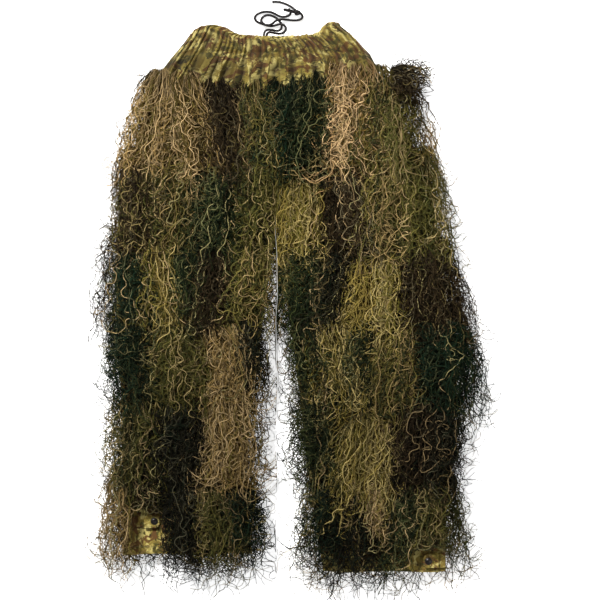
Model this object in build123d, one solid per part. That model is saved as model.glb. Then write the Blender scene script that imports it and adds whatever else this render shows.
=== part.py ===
"""Ghillie trousers, lying flat on their back: gathered waist, two legs, and rows of yarn tufts.

Millimetres. +X is the wearer's left, +Y runs towards the waist and +Z is up, away from the
surface that the trousers lie on. The origin is under the middle of the trousers' box.
"""
import os
from math import radians, tan

from build123d import *

os.makedirs("parts", exist_ok=True)

# ---------------------------------------------------------------- layers, from the floor up
BACK_TUFT_TOP = 14.5        # yarn squashed under the garment
TACK = 1.2                  # height of a bar tack
CLOTH = 2.0                 # cloth with its lining
BACK_CLOTH = 16.0           # underside of the back cloth
HOLLOW = 16.0               # room left between front and back
HOLLOW_FLOOR = BACK_CLOTH + CLOTH
HOLLOW_CEILING = HOLLOW_FLOOR + HOLLOW
FRONT_CLOTH = HOLLOW_CEILING + CLOTH
MIDDLE = (HOLLOW_FLOOR + HOLLOW_CEILING) / 2     # height of the side seams and of every fold
FRONT_TUFT_ROOT = FRONT_CLOTH + TACK + 0.3
FRONT_TUFT_TOP = 86.0

# ---------------------------------------------------------------- folds
HIP_LINE = 135.0            # Y of the fold between seat and thighs, at the crotch
KNEE_LINE = -5.0            # Y of the fold between thighs and shins
HIP_FORWARD = 90.0          # how far each fold closes, degrees
KNEE_FORWARD = 75.0
KNEE_BACK = 90.0
FOLD_CLEARANCE = 0.5

# ---------------------------------------------------------------- cloth outlines, top to bottom
WAIST_SEAM = 478.0          # Y where the casing is sewn to the seat
RIGHT_HEM = -471.0
LEFT_HEM = -504.0
SEAT_SIDES = (
    [(-232, WAIST_SEAM), (-270, 425), (-325, 240), (-336, HIP_LINE)],
    [(144, WAIST_SEAM), (168, 430), (240, 280), (270, HIP_LINE)],
)
RIGHT_LEG_SIDES = (
    [(-336, HIP_LINE), (-340, 0), (-328, -200), (-328, RIGHT_HEM)],
    [(-36, HIP_LINE), (-85, -200), (-95, -340), (-80, RIGHT_HEM)],
)
LEFT_LEG_SIDES = (
    [(-30, HIP_LINE), (12, -180), (26, -310), (55, LEFT_HEM)],
    [(270, HIP_LINE), (290, 10), (311, -130), (306, -270), (290, -400), (290, LEFT_HEM)],
)
HEM_FACING = (12.0, 1.0)    # height and thickness of the cloth turned up inside each leg

# ---------------------------------------------------------------- gathered waist casing
CASING_BULGE = 8.0          # how far the gathers stand out past the cloth
CASING_TOP = 514.0          # Y of the level part of the top edge
CASING_OUTLINE = [
    (-232, WAIST_SEAM), (-200, 520), (-186, 530), (-142, 530), (-122, CASING_TOP),
    (42, CASING_TOP), (58, 528), (76, 536), (96, 527), (144, WAIST_SEAM),
]
WAIST_LEFT, WAIST_RIGHT = -168.0, 84.0           # inside of the gathered waist
CHANNEL_OUT, CHANNEL_IN = 15.0, 5.0              # the channel's walls, beyond the waist opening
CHANNEL_BOTTOM, CHANNEL_TOP = 482.0, 510.0
ELASTIC_WIDTH, ELASTIC_THICK = 20.0, 1.5
BUTTONHOLE = (12.0, 5.0)    # the slot that both cord ends come out of
BUTTONHOLE_STITCH = (2.5, 1.0)                   # width and height of the stitched ring

# ---------------------------------------------------------------- drawstring
CORD = 4.5                  # diameter
CORD_Y, CORD_FRONT_Z, CORD_BACK_Z = 506.0, 39.0, 13.5
CORD_EXITS = (-57.5, -52.5)                      # X of the right and the left end at the buttonhole
KNOT = (6.5, 565.2, 6.3)    # centre of the slipped knot in the right end
KNOT_RADIUS = 6.2
KNOT_LOOP_END = (-17.0, 570.4, 9.8)              # end of the small loop that is drawn through it
KNOT_LOOP_RADIUS = 3.0
TIP_LENGTH, TIP_DIAMETER = 5.0, 5.1              # melted tips

LEFT_END_ROUTE = [
    (-52.5, CASING_TOP, 39.0), (-52.3, 520.5, 38.8), (-47.5, 524.3, 36), (-38, 523, 31),
    (-28.5, 522, 25), (-20.5, 524.5, 18.5), (-15.8, 530.5, 12.5), (-15.6, 537.5, 9.6),
    (-21.5, 542.7, 8.6), (-30.5, 542.9, 5.4), (-40, 539.9, 2.6), (-50.5, 540.2, 2.35),
    (-61, 544.2, 2.35), (-70, 547.4, 2.35), (-76, 553, 2.35), (-74.5, 560.2, 2.35),
    (-67, 565.2, 2.35), (-56, 567.8, 2.35), (-45, 567.3, 2.35), (-36, 563.2, 2.35),
    (-28, 558.6, 2.35), (-18.5, 557.4, 2.35), (-10.5, 559.8, 2.35), (-7.2, 562.9, 2.35),
    (-6.6, 566.6, 2.35), (-8.4, 569.8, 2.35),
]
RIGHT_END_ROUTE = [
    (-57.5, CASING_TOP, 39.0), (-57.5, 522, 39.0), (-53, 528.6, 36), (-42.5, 529.2, 29),
    (-32, 527.8, 21), (-25, 532, 12.5), (-23.4, 539, 3.2), (-25, 546, 2.35),
    (-30.5, 553, 2.35), (-38.5, 558.5, 2.35), (-48, 561.7, 2.35), (-57, 560, 2.35),
    (-63, 554.5, 2.9), (-63.5, 547.7, 7.0), (-56.5, 542, 7.8), (-47.5, 540.9, 7.5),
    (-40.5, 545, 5.4), (-35, 550.2, 6.9), (-26.5, 552.6, 7.3), (-16.5, 552.3, 4.1),
    (-6.5, 551.3, 2.35), (3.5, 551, 2.35), (12.5, 552.2, 2.35), (17.2, 557.6, 3.2),
    (13.8, 563.6, 5.6), (7, 566.8, 6.2), (0.8, 572, 4.6), (-8, 578.9, 2.5), (-18.5, 583.6, 2.35),
    (-29.5, 586.8, 2.35), (-37.5, 586.6, 2.6),
]

# ---------------------------------------------------------------- ankle tabs and their snaps
RIGHT_SNAP = (-266.0, -408.0)
LEFT_SNAP = (256.0, -484.0)
TAB_LENGTH, TAB_WIDTH, TAB_THICK = 30.0, 26.0, 2.0   # from the fold to the free end
TAB_REACH = 20.0            # from the tab's fold to the snap
TAB_UNDERSIDE = 40.0
TAB_STITCHED = (11.5, 1.5)  # length and thickness of the end that is sewn down
CAP_RADIUS, CAP_HEIGHT = 7.0, 2.0
STUD_RADIUS, STUD_FLANGE, STUD_HEAD, STUD_HEIGHT = 5.5, 1.0, 2.2, 3.2
SOCKET_RADIUS, SOCKET_BORE, SOCKET_GAP = 6.0, 2.4, 0.4
BACKING_RADIUS, BACKING_THICK = 5.0, 1.0

# ---------------------------------------------------------------- tuft rows
TUFT_GAP = 3.0              # between neighbouring tufts of a row
TUFT_TAPER = 8.0            # how much each end of a tuft leans in, root to top
ROUNDING = 5.0
ROW_1_TOP, ROW_2_TOP = 430.0, 285.0
ROW_5_TOP, ROW_6_TOP = -152.0, -302.0
RIGHT_TIPS, LEFT_TIPS = -512.0, -536.0
# name: (body, top, bottom, [X of the edges between tufts])
ROWS = {
    "row_1": ("seat", ROW_1_TOP, ROW_2_TOP, [-300, -215, -125, -45, 35, 120, 205]),
    "row_2": ("seat", ROW_2_TOP, HIP_LINE, [-350, -270, -185, -100, -15, 65, 140, 215, 285]),
    "right_row_3": ("right_thigh", HIP_LINE, KNEE_LINE, [-366, -285, -205, -125, -42]),
    "left_row_3": ("left_thigh", HIP_LINE, KNEE_LINE, [-28, 58, 140, 222, 312]),
    "right_row_4": ("right_shin", KNEE_LINE, ROW_5_TOP, [-369, -290, -210, -130, -48]),
    "left_row_4": ("left_shin", KNEE_LINE, ROW_5_TOP, [-14, 75, 160, 245, 369]),
    "right_row_5": ("right_shin", ROW_5_TOP, ROW_6_TOP, [-345, -275, -205, -135, -62]),
    "left_row_5": ("left_shin", ROW_5_TOP, ROW_6_TOP, [-8, 80, 165, 250, 340]),
    "right_row_6": ("right_shin", ROW_6_TOP, RIGHT_TIPS, [-355, -308, -250, -190, -130, -70]),
    "left_row_6": ("left_shin", ROW_6_TOP, LEFT_TIPS, [14, 67, 120, 173, 226, 290, 310]),
}
# the front tufts above an ankle tab end early: row, left edge and lower end
SHORT_TUFTS = {("right_row_6", -308): -380.0, ("left_row_6", 226): -456.0}
TACK_LENGTH, TACK_WIDTH = 40.0, 5.0

FAR = 800.0                 # larger than the garment
nodes = {}


def extruded(points, low, high):
    """A straight-sided solid over an XY outline."""
    return Pos(0, 0, low) * extrude(make_face(Polyline(*points, close=True)), high - low)


def outline_of(sides, inset=0.0, past=0.0):
    """The closed outline of a tube of cloth, with its walls moved in and its ends drawn out."""
    left, right = [[(x + move, y) for x, y in side] for side, move in zip(sides, (inset, -inset))]
    for side in (left, right):
        side[0] = (side[0][0], side[0][1] + past)
        side[-1] = (side[-1][0], side[-1][1] - past)
    return left + right[::-1]


def tube_of(sides):
    """A flattened tube of cloth, open at both ends."""
    outside = extruded(outline_of(sides), BACK_CLOTH, FRONT_CLOTH)
    return outside - extruded(outline_of(sides, CLOTH, 5.0), HOLLOW_FLOOR, HOLLOW_CEILING)


def slab(y_low, y_high, z_low=-FAR, z_high=FAR):
    """Everything between two Y values and two heights."""
    size = (2 * FAR, y_high - y_low, z_high - z_low)
    return Pos(0, (y_low + y_high) / 2, (z_low + z_high) / 2) * Box(*size)


def fold_inset(z, forward, backward):
    """How far a solid stays back from a fold line at height z, so that the fold can close."""
    angle = forward if z > MIDDLE else backward
    return FOLD_CLEARANCE + abs(z - MIDDLE) * tan(radians(angle) / 2)


def fold_gap(line, forward, backward):
    """The hourglass of space that a fold needs, along X."""
    low, high = BACK_CLOTH - 1, FRONT_CLOTH + 1
    levels = [(z, fold_inset(z, forward, backward)) for z in (low, high)]
    waist = (MIDDLE, FOLD_CLEARANCE)
    right = [levels[0], waist, levels[1]]
    points = [(line + w, z) for z, w in right] + [(line - w, z) for z, w in right[::-1]]
    profile = Plane.YZ.offset(-FAR) * make_face(Polyline(*points, close=True))
    return extrude(profile, 2 * FAR)


def split_panels(name, cloth):
    """Front and back panels of a tube, meeting at the side seams."""
    nodes[f"{name}_front_panel"] = cloth & slab(-FAR, FAR, MIDDLE, FAR)
    nodes[f"{name}_back_panel"] = cloth & slab(-FAR, FAR, -FAR, MIDDLE)


def make_cloth():
    """Seat, thighs and shins, cut where the cloth folds."""
    hip = fold_gap(HIP_LINE, HIP_FORWARD, 0)
    knee = fold_gap(KNEE_LINE, KNEE_FORWARD, KNEE_BACK)
    split_panels("seat", tube_of(SEAT_SIDES) - hip)
    for side, sides in (("right", RIGHT_LEG_SIDES), ("left", LEFT_LEG_SIDES)):
        leg = tube_of(sides) - hip - knee
        split_panels(f"{side}_thigh", leg & slab(KNEE_LINE, HIP_LINE))
        split_panels(f"{side}_shin", leg & slab(-FAR, KNEE_LINE))


def make_hem(side, sides, hem):
    """The strip of cloth turned up inside a leg opening."""
    height, thick = HEM_FACING
    outside = extruded(outline_of(sides, CLOTH, 5.0), HOLLOW_FLOOR, HOLLOW_CEILING)
    inside = extruded(outline_of(sides, CLOTH + thick, 5.0), HOLLOW_FLOOR + thick,
                      HOLLOW_CEILING - thick)
    nodes[f"{side}_hem_facing"] = (outside - inside) & slab(hem, hem + height)


def channel_ring(grow, y_low, y_high, thick):
    """A flat loop inside the casing, grown outwards from the waist opening."""
    length = WAIST_RIGHT - WAIST_LEFT
    centre = Pos((WAIST_LEFT + WAIST_RIGHT) / 2, (y_low + y_high) / 2,
                 (CORD_FRONT_Z + CORD_BACK_Z) / 2)
    height = CORD_FRONT_Z - CORD_BACK_Z
    loop_thick, side_thick = thick
    outer = Box(length + 2 * (grow + side_thick / 2), y_high - y_low, height + loop_thick)
    inner = Box(length + 2 * (grow - side_thick / 2), 2 * FAR, height - loop_thick)
    return centre * (outer - inner)


def make_waist():
    """The gathered casing with its elastic, drawstring and buttonhole."""
    middle_grow = (CHANNEL_OUT + CHANNEL_IN) / 2
    casing = extruded(CASING_OUTLINE, BACK_CLOTH - CASING_BULGE, FRONT_CLOTH + CASING_BULGE)
    waist_x = (WAIST_LEFT + WAIST_RIGHT) / 2
    casing -= Pos(waist_x, 0, MIDDLE) * Box(WAIST_RIGHT - WAIST_LEFT, 2 * FAR, HOLLOW)
    casing -= channel_ring(middle_grow, CHANNEL_BOTTOM, CHANNEL_TOP,
                           (CORD + 1.0, CHANNEL_OUT - CHANNEL_IN))
    hole_x = sum(CORD_EXITS) / 2
    slot = Pos(hole_x, CASING_TOP, CORD_FRONT_Z) * Box(BUTTONHOLE[0], 12, BUTTONHOLE[1])
    casing -= slot
    nodes["waist_casing_front"] = casing & slab(-FAR, FAR, MIDDLE, FAR)
    nodes["waist_casing_back"] = casing & slab(-FAR, FAR, -FAR, MIDDLE)

    elastic_low = CHANNEL_BOTTOM + 0.5
    nodes["waist_elastic"] = channel_ring(middle_grow, elastic_low, elastic_low + ELASTIC_WIDTH,
                                          (ELASTIC_THICK, ELASTIC_THICK))

    width, height = BUTTONHOLE_STITCH
    ring = Box(BUTTONHOLE[0] + 2 * width, height, BUTTONHOLE[1] + 2 * width)
    ring = Pos(hole_x, CASING_TOP + height / 2, CORD_FRONT_Z) * ring
    nodes["drawstring_buttonhole"] = ring - slot


def cord_tube(name, route, radii):
    """A round cord along straight runs and tangent arcs, with its volume checked."""
    path = FilletPolyline(*route, radius=radii)
    start = Plane(path @ 0, z_dir=path % 0)
    tube = sweep(start * Circle(CORD / 2), path=path)
    expected = path.length * 3.14159 * CORD ** 2 / 4
    print(f"{name}: length {path.length:.1f}, volume {tube.volume / expected:.3f} of its section "
          f"times its length, radii {' '.join(f'{r:.1f}' for r in radii)}")
    nodes[name] = tube
    return path


def free_radii(route):
    """Each arc as large as its two runs allow."""
    points = [Vector(*p) for p in route]
    radii = []
    for before, here, after in zip(points, points[1:], points[2:]):
        run_in, run_out = here - before, after - here
        turn = radians(run_in.get_angle(run_out))
        radii.append(0.45 * min(run_in.length, run_out.length) / tan(turn / 2))
    return radii


def make_drawstring():
    """The cord in its channel, its two free ends, the slipped knot and the melted tips."""
    side = (CHANNEL_OUT + CHANNEL_IN) / 2
    right_x, left_x = CORD_EXITS
    front, back = (CORD_Y, CORD_FRONT_Z), (CORD_Y, CORD_BACK_Z)
    loop = [
        (left_x, CASING_TOP, CORD_FRONT_Z), (left_x, *front), (WAIST_RIGHT + side, *front),
        (WAIST_RIGHT + side, *back), (WAIST_LEFT - side, *back), (WAIST_LEFT - side, *front),
        (right_x, *front), (right_x, CASING_TOP, CORD_FRONT_Z),
    ]
    cord_tube("drawstring_in_channel", loop, [4.0] * (len(loop) - 2))

    tips = []
    for name, route in (("left", LEFT_END_ROUTE), ("right", RIGHT_END_ROUTE)):
        path = cord_tube(f"drawstring_{name}_end", route, free_radii(route))
        end = Plane(path @ 1, z_dir=path % 1)
        tips.append(end * Pos(0, 0, TIP_LENGTH / 2) * Cylinder(TIP_DIAMETER / 2, TIP_LENGTH))
    nodes["drawstring_tips"] = Compound(tips)
    centre, end = Vector(*KNOT), Vector(*KNOT_LOOP_END)
    drawn = Plane(centre, z_dir=end - centre) * Cylinder(
        KNOT_LOOP_RADIUS, (end - centre).length, align=(Align.CENTER, Align.CENTER, Align.MIN))
    nodes["drawstring_knot"] = (Pos(*KNOT) * Sphere(KNOT_RADIUS) + drawn
                                + Pos(*KNOT_LOOP_END) * Sphere(KNOT_LOOP_RADIUS))


def make_ankle_tab(side, snap, outward):
    """A strap that folds at its sewn end and snaps down; outward is the X sign of that end."""
    snap_x, snap_y = snap
    fold_x = snap_x + outward * TAB_REACH
    strap = Box(TAB_LENGTH - 0.5, TAB_WIDTH, TAB_THICK)
    strap = fillet(strap.edges().filter_by(Axis.Z).group_by(Axis.X)[0 if outward > 0 else -1], 9.0)
    strap_x = fold_x - outward * (TAB_LENGTH + 0.5) / 2
    strap = Pos(strap_x, snap_y, TAB_UNDERSIDE + TAB_THICK / 2) * strap
    at_snap = Pos(snap_x, snap_y, 0)
    strap -= at_snap * Pos(0, 0, TAB_UNDERSIDE) * Cylinder(STUD_HEAD + 0.5, 3 * TAB_THICK)
    nodes[f"{side}_ankle_tab"] = strap

    length, thick = TAB_STITCHED
    sewn = Box(length, TAB_WIDTH, thick)
    nodes[f"{side}_tab_sewn_end"] = Pos(
        fold_x + outward * (length / 2 + 0.5), snap_y, FRONT_CLOTH + thick / 2) * sewn

    tab_top = TAB_UNDERSIDE + TAB_THICK
    cap = Cylinder(CAP_RADIUS, CAP_HEIGHT)
    cap = chamfer(cap.edges().sort_by(Axis.Z)[-1], 1.0)
    nodes[f"{side}_snap_cap"] = at_snap * Pos(0, 0, tab_top + CAP_HEIGHT / 2) * cap

    stud = Pos(0, 0, STUD_FLANGE / 2) * Cylinder(STUD_RADIUS, STUD_FLANGE)
    stud += Pos(0, 0, STUD_HEIGHT / 2) * Cylinder(STUD_HEAD - 0.4, STUD_HEIGHT)
    stud += Pos(0, 0, STUD_HEIGHT - 0.6) * Cylinder(STUD_HEAD, 1.2)
    nodes[f"{side}_snap_stud"] = at_snap * Pos(0, 0, FRONT_CLOTH) * stud

    socket_low = FRONT_CLOTH + STUD_FLANGE + SOCKET_GAP
    socket = Cylinder(SOCKET_RADIUS, TAB_UNDERSIDE - socket_low)
    socket -= Cylinder(SOCKET_BORE, TAB_UNDERSIDE)
    nodes[f"{side}_snap_socket"] = at_snap * Pos(0, 0, (socket_low + TAB_UNDERSIDE) / 2) * socket

    backing = Cylinder(BACKING_RADIUS, BACKING_THICK)
    nodes[f"{side}_snap_backing"] = at_snap * Pos(0, 0, HOLLOW_CEILING - BACKING_THICK / 2) * backing


def end_inset(line, z):
    """How far the end of a tuft stays back from the line where its row ends, at height z."""
    if line == HIP_LINE:
        return fold_inset(z, HIP_FORWARD, 0)
    if line == KNEE_LINE:
        return fold_inset(z, KNEE_FORWARD, KNEE_BACK)
    root = FRONT_TUFT_ROOT if z > MIDDLE else BACK_TUFT_TOP
    return TUFT_GAP / 2 + TUFT_TAPER * abs(z - root) / (FRONT_TUFT_TOP - FRONT_TUFT_ROOT)


def tuft(x_low, x_high, top, bottom, root, crown):
    """One tuft: a rounded block whose ends lean in from its root to its crown."""
    free_end = bottom not in (ROW_2_TOP, HIP_LINE, KNEE_LINE, ROW_5_TOP, ROW_6_TOP)
    lower = (lambda z: 0.0) if free_end else (lambda z: end_inset(bottom, z))
    points = [
        (top - end_inset(top, root), root), (top - end_inset(top, crown), crown),
        (bottom + lower(crown), crown), (bottom + lower(root), root),
    ]
    profile = Plane.YZ.offset(x_low) * make_face(Polyline(*points, close=True))
    block = extrude(profile, x_high - x_low)
    if crown > root:
        block = fillet(block.faces().sort_by(Axis.Z)[-1].edges(), ROUNDING)
    return block


def make_tufts():
    """Front and back tufts, each row on one body, and the bar tacks that hold them."""
    tacks = {}
    for row, (body, top, bottom, edges) in ROWS.items():
        fronts, backs = [], []
        for number, (left, right) in enumerate(zip(edges, edges[1:])):
            x_low = left + (TUFT_GAP / 2 if number else 0)
            x_high = right - (TUFT_GAP / 2 if right != edges[-1] else 0)
            front_bottom = SHORT_TUFTS.get((row, left), bottom)
            fronts.append(tuft(x_low, x_high, top, front_bottom, FRONT_TUFT_ROOT, FRONT_TUFT_TOP))
            backs.append(tuft(x_low, x_high, top, bottom, BACK_TUFT_TOP, 0.0))
            middle, length = (x_low + x_high) / 2, min(TACK_LENGTH, x_high - x_low - 8)
            for z, height in ((FRONT_CLOTH + TACK / 2, FRONT_TUFT_ROOT),
                              (BACK_CLOTH - TACK / 2, BACK_TUFT_TOP)):
                tack_y = top - end_inset(top, height) - 2 - TACK_WIDTH / 2
                tack = Pos(middle, tack_y, z) * Box(length, TACK_WIDTH, TACK)
                tacks.setdefault(body, []).append(tack)
        nodes[f"front_tufts_{row}"] = Compound(fronts)
        nodes[f"back_tufts_{row}"] = Compound(backs)
    for body, bars in tacks.items():
        nodes[f"{body}_bar_tacks"] = Compound(bars)


make_cloth()
make_hem("right", RIGHT_LEG_SIDES, RIGHT_HEM)
make_hem("left", LEFT_LEG_SIDES, LEFT_HEM)
make_waist()
make_drawstring()
make_ankle_tab("right", RIGHT_SNAP, -1)
make_ankle_tab("left", LEFT_SNAP, 1)
make_tufts()

for node, shape in nodes.items():
    export_step(shape, f"parts/{node}.step")
print(len(nodes), "nodes")
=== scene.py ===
from math import atan, cos, pi, radians, sin, tau

import bmesh
import bpy
import numpy as np
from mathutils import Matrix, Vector


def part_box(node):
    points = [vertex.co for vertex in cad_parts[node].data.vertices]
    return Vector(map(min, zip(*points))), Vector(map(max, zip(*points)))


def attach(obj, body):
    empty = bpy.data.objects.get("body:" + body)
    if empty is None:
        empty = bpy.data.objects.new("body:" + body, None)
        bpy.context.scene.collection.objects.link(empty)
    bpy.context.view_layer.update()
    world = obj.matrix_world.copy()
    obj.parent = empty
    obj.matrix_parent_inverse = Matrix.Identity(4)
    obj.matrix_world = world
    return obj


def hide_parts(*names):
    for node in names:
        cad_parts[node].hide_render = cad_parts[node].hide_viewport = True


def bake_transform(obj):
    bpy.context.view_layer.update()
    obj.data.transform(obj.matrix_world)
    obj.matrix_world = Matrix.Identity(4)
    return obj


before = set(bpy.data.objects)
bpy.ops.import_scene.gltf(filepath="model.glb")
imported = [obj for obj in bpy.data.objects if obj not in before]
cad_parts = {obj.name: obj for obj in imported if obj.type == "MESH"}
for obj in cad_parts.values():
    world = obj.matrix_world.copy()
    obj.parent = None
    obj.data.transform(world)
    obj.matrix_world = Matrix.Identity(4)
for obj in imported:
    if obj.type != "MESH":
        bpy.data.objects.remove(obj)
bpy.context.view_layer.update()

MM = 0.001
SEED = 377

# ------------------------------------------------------------------ camera, floor and light
CAMERA_HEIGHT = 4.0
VIEW_WIDTH = 1.14           # metres across the frame, at the height of the front cloth
VIEW_CENTRE = (0.0114, 0.0133)
FLOOR_SIZE = 14.0


def make_camera():
    """Straight down on the trousers, waist at the top of the frame."""
    data = bpy.data.cameras.new("camera")
    data.sensor_width = 36.0
    data.lens = data.sensor_width * (CAMERA_HEIGHT - 0.05) / VIEW_WIDTH
    camera = bpy.data.objects.new("camera", data)
    camera.location = (*VIEW_CENTRE, CAMERA_HEIGHT)
    bpy.context.scene.collection.objects.link(camera)
    bpy.context.scene.camera = camera


def make_light():
    """A white room, with one broad lamp high behind the waist."""
    world = bpy.data.worlds.new("studio")
    world.use_nodes = True
    background = world.node_tree.nodes["Background"]
    background.inputs["Color"].default_value = (1.0, 1.0, 1.0, 1.0)
    background.inputs["Strength"].default_value = 0.24
    bpy.context.scene.world = world
    for name, energy, spread, turn in (
            ("key", 5.6, 6, (-38, -26, 0)), ("fill", 0.5, 40, (24, 36, 0))):
        lamp = bpy.data.lights.new(name, "SUN")
        lamp.energy, lamp.angle = energy, radians(spread)
        lamp.color = (1.0, 0.985, 0.96) if name == "key" else (0.95, 0.98, 1.0)
        obj = bpy.data.objects.new(name, lamp)
        obj.rotation_euler = [radians(a) for a in turn]
        bpy.context.scene.collection.objects.link(obj)
    bpy.context.scene.view_settings.view_transform = "Standard"


# ------------------------------------------------------------------ materials
def linear(r, g, b):
    """An sRGB colour from 0 to 255 as linear values."""
    values = [v / 255 for v in (r, g, b)]
    return [v / 12.92 if v <= 0.04045 else ((v + 0.055) / 1.055) ** 2.4 for v in values]


class Nodes:
    """A material's node tree, built with short calls."""

    def __init__(self, name, roughness, specular=0.3, sheen=0.0, metallic=0.0):
        self.material = bpy.data.materials.new(name)
        self.material.use_nodes = True
        self.tree = self.material.node_tree
        self.shader = self.tree.nodes["Principled BSDF"]
        for socket, value in (("Roughness", roughness), ("Specular IOR Level", specular),
                              ("Sheen Weight", sheen), ("Metallic", metallic)):
            self.shader.inputs[socket].default_value = value

    def add(self, kind, links=(), settings=(), **values):
        """A new node, with its properties set, its sockets filled and its inputs linked."""
        node = self.tree.nodes.new(kind)
        for key, value in dict(settings).items():
            setattr(node, key, value)
        for key, value in values.items():
            node.inputs[key.replace("_", " ")].default_value = value
        for socket, source in dict(links).items():
            self.tree.links.new(source, node.inputs[socket])
        return node

    def coordinates(self, kind="Object"):
        return self.add("ShaderNodeTexCoord").outputs[kind]

    def noise(self, vector, scale, detail=2.0, roughness=0.5, distortion=0.0):
        node = self.add("ShaderNodeTexNoise", {"Vector": vector}, Scale=scale, Detail=detail,
                        Roughness=roughness, Distortion=distortion)
        return node.outputs["Fac"]

    def mask(self, value, low, high):
        """0 below low, 1 above high."""
        node = self.add("ShaderNodeMapRange", {"Value": value})
        node.inputs["From Min"].default_value = low
        node.inputs["From Max"].default_value = high
        return node.outputs["Result"]

    def shifted(self, vector, x, y, z=0.0):
        node = self.add("ShaderNodeVectorMath", {0: vector}, {"operation": "ADD"})
        node.inputs[1].default_value = (x, y, z)
        return node.outputs["Vector"]

    def stretched(self, vector, x, y, z=1.0):
        node = self.add("ShaderNodeVectorMath", {0: vector}, {"operation": "MULTIPLY"})
        node.inputs[1].default_value = (x, y, z)
        return node.outputs["Vector"]

    def mix(self, factor, a, b, how="MIX"):
        node = self.add("ShaderNodeMix", settings={"data_type": "RGBA", "blend_type": how})
        for socket, value in ((node.inputs[0], factor), (node.inputs[6], a), (node.inputs[7], b)):
            if isinstance(value, bpy.types.NodeSocket):
                self.tree.links.new(value, socket)
            elif isinstance(value, (int, float)):
                socket.default_value = value
            else:
                socket.default_value = (*value, 1.0)
        return node.outputs[2]

    def bump(self, height, distance, strength=1.0):
        node = self.add("ShaderNodeBump", {"Height": height}, Distance=distance,
                        Strength=strength)
        self.tree.links.new(node.outputs["Normal"], self.shader.inputs["Normal"])

    def colour(self, source):
        self.tree.links.new(source, self.shader.inputs["Base Color"])


def yarn_material():
    """Dyed jute-like yarn: the thread's own colour, broken up by its twist and fuzz."""
    m = Nodes("yarn", 0.68, 0.07)
    thread = m.add("ShaderNodeVertexColor", settings={"layer_name": "yarn_colour"})
    place = m.coordinates()
    twist = m.mask(m.noise(place, 420.0, 2.0), 0.3, 0.7)
    patches = m.mask(m.noise(m.shifted(place, 3.1, 0.7), 60.0, 3.0), 0.35, 0.65)
    worn = m.mix(0.30, thread.outputs["Color"], m.mix(twist, (0.35, 0.33, 0.3), (1, 1, 1)),
                 "MULTIPLY")
    faded = m.mix(0.22, worn, m.mix(patches, (0.5, 0.48, 0.4), (1, 1, 1)), "MULTIPLY")
    m.colour(faded)
    return m.material


def camouflage_material():
    """Printed cloth: yellow green with pale, olive and brown blotches, over a fine twill, with
    painted shade in the creases of the gathers.
    """
    m = Nodes("camouflage_cloth", 0.78, 0.25, 0.1)
    flat = m.add("ShaderNodeUVMap", settings={"uv_map": "flat"}).outputs["UV"]
    ground = m.mix(m.mask(m.noise(flat, 36.0, 4.0, 0.62, 0.9), 0.40, 0.58),
                   linear(110, 90, 34), linear(142, 126, 56))
    pale = m.mask(m.noise(m.shifted(flat, 5.3, 1.9), 46.0, 4.0, 0.62, 0.8), 0.50, 0.56)
    with_pale = m.mix(pale, ground, linear(186, 171, 102))
    olive = m.mask(m.noise(m.shifted(flat, 2.7, 8.1), 50.0, 4.0, 0.66, 1.0), 0.53, 0.58)
    with_olive = m.mix(olive, with_pale, linear(72, 66, 22))
    brown = m.mask(m.noise(m.shifted(flat, 9.2, 4.4), 42.0, 5.0, 0.66, 1.2), 0.525, 0.575)
    with_brown = m.mix(brown, with_olive, linear(92, 62, 26))
    specks = m.mask(m.noise(m.shifted(flat, 1.3, 6.2), 150.0, 3.0, 0.6, 0.4), 0.60, 0.66)
    printed = m.mix(specks, with_brown, linear(46, 38, 14))
    # painted shade: the print is darkened almost to black in the valleys of the gathers
    painted_crease_shade = m.add("ShaderNodeAttribute", settings={"attribute_name": "painted_crease_shade"}).outputs["Fac"]
    printed = m.mix(painted_crease_shade, printed, m.mix(0.92, printed, linear(20, 15, 5)))
    weave = m.noise(m.stretched(flat, 1.0, 0.35), 1500.0, 2.0)
    m.colour(m.mix(0.35, printed, m.mix(m.mask(weave, 0.3, 0.7), (0.55, 0.55, 0.52), (1, 1, 1)),
                   "MULTIPLY"))
    m.bump(weave, 0.0004, 0.6)
    return m.material


def cord_material():
    """Black braided cord: plaits of brownish black nylon with a soft shine."""
    m = Nodes("cord", 0.55, 0.25)
    place = m.coordinates()
    fibres = m.mask(m.noise(place, 900.0, 2.0), 0.35, 0.65)
    m.colour(m.mix(fibres, linear(12, 10, 11), linear(34, 28, 28)))
    m.bump(fibres, 0.0003, 0.5)
    return m.material


def thread_material():
    """Sewing thread, olive and a little shiny."""
    m = Nodes("thread", 0.55, 0.4)
    twist = m.mask(m.noise(m.coordinates(), 1400.0, 2.0), 0.35, 0.65)
    m.colour(m.mix(twist, linear(58, 54, 30), linear(104, 98, 60)))
    return m.material


def elastic_material():
    """Knitted elastic: pale ribs along the band."""
    m = Nodes("elastic", 0.7, 0.3)
    ribs = m.add("ShaderNodeTexWave", {"Vector": m.coordinates()},
                 {"bands_direction": "Y"}, Scale=230.0, Distortion=0.6, Detail=1.0)
    m.colour(m.mix(ribs.outputs["Fac"], linear(168, 166, 156), linear(226, 224, 214)))
    m.bump(ribs.outputs["Fac"], 0.0004, 0.6)
    return m.material


def metal_material():
    """Black enamelled brass, with the brass showing through where the finish has worn."""
    m = Nodes("snap_metal", 0.32, 0.6, metallic=0.55)
    place = m.coordinates()
    wear = m.mask(m.noise(place, 520.0, 5.0, 0.7), 0.6, 0.72)
    m.colour(m.mix(wear, linear(36, 32, 30), linear(132, 112, 78)))
    m.bump(m.noise(place, 900.0, 3.0), 0.0001, 0.4)
    return m.material


def floor_material():
    """Plain pale paper."""
    m = Nodes("floor", 0.9, 0.1)
    grain = m.noise(m.coordinates(), 6.0, 3.0)
    m.colour(m.mix(grain, (0.90, 0.90, 0.90), (0.92, 0.92, 0.92)))
    m.shader.inputs["Emission Color"].default_value = (1.0, 1.0, 1.0, 1.0)
    m.shader.inputs["Emission Strength"].default_value = 0.75
    return m.material


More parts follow.
